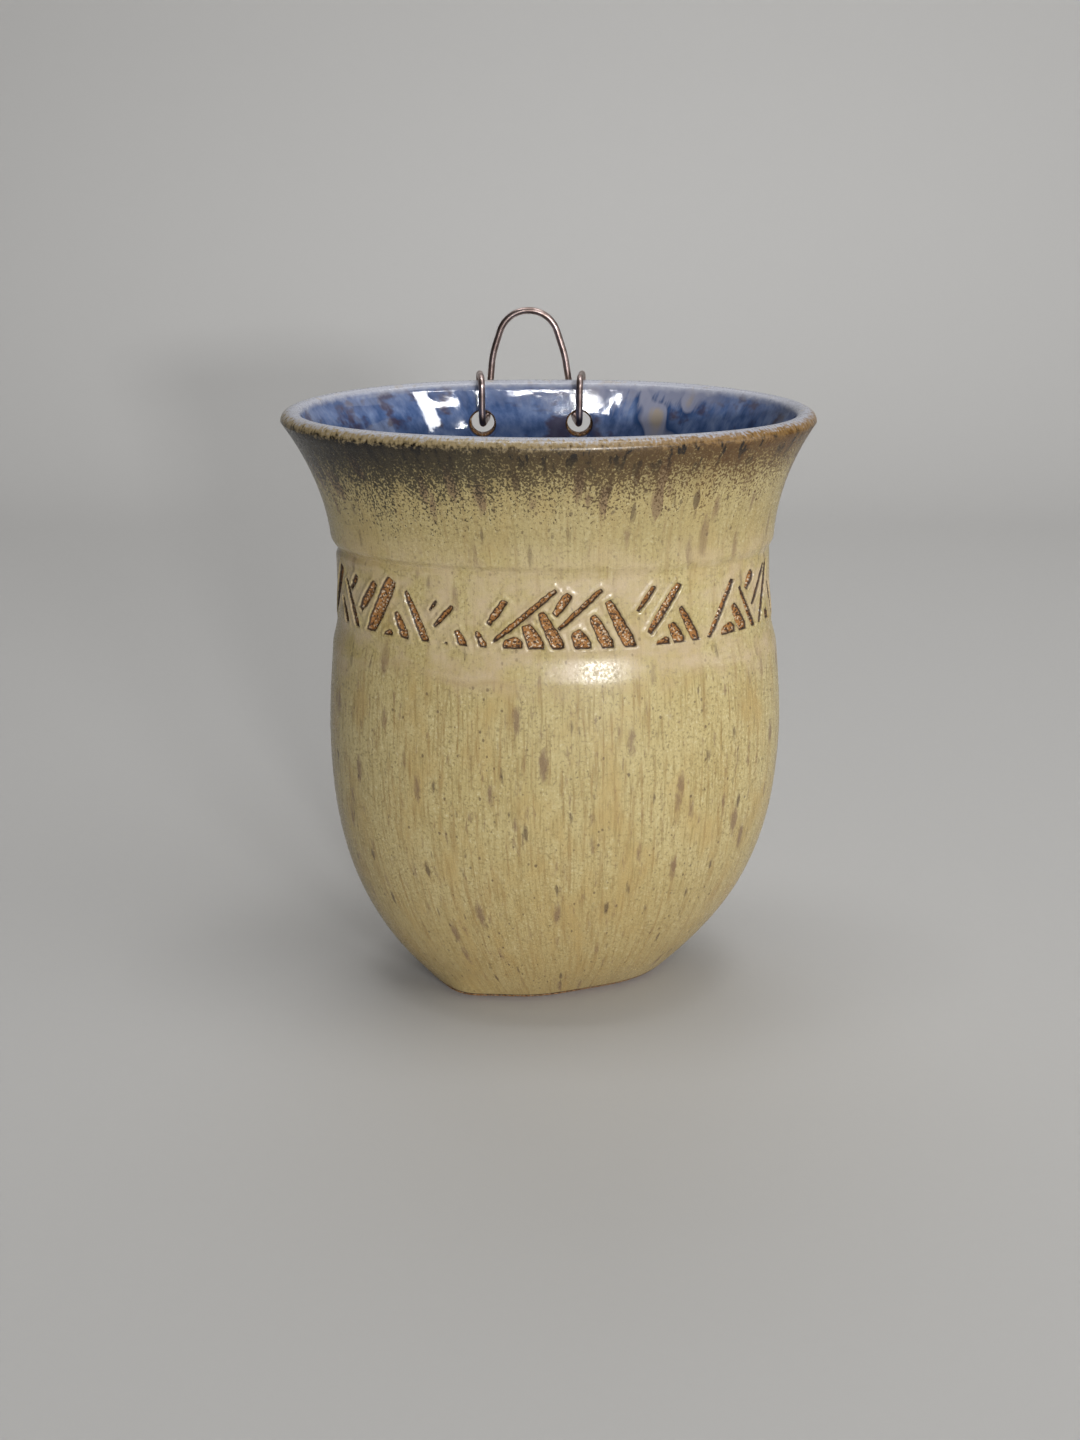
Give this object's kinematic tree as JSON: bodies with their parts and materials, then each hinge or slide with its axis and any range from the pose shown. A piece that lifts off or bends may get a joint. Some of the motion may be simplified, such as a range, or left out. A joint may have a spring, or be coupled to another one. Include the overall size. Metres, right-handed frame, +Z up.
{
  "type": "hanging wall vase",
  "caption": "Stoneware wall-pocket vase with a flared lip, carved basket-weave band, flattened back and a bent copper wire hanger hooked through the back of the rim.",
  "frame": {"origin": "on the foot's flat underside, under the pot's axis", "axes": "+Z up, +X to the right seen from the front, +Y towards the wall that the vase hangs on"},
  "size_m": [0.1266, 0.0795, 0.1683],
  "materials": {
    "glazed_stoneware": "satin ochre glaze outside, glossy blue glaze inside",
    "copper_wire": "darkened copper-brown wire"
  },
  "bodies": {
    "vessel": {"vessel": "glazed_stoneware"},
    "hanger": {"wire_hanger": "copper_wire"}
  },
  "joints": [
    {"name": "hanger_rock", "type": "hinge", "parent": "vessel", "child": "hanger", "pos_m": [0, 0.0315, 0.1403], "axis": [1, 0, 0], "range_deg": [-8, 8]}
  ]
}
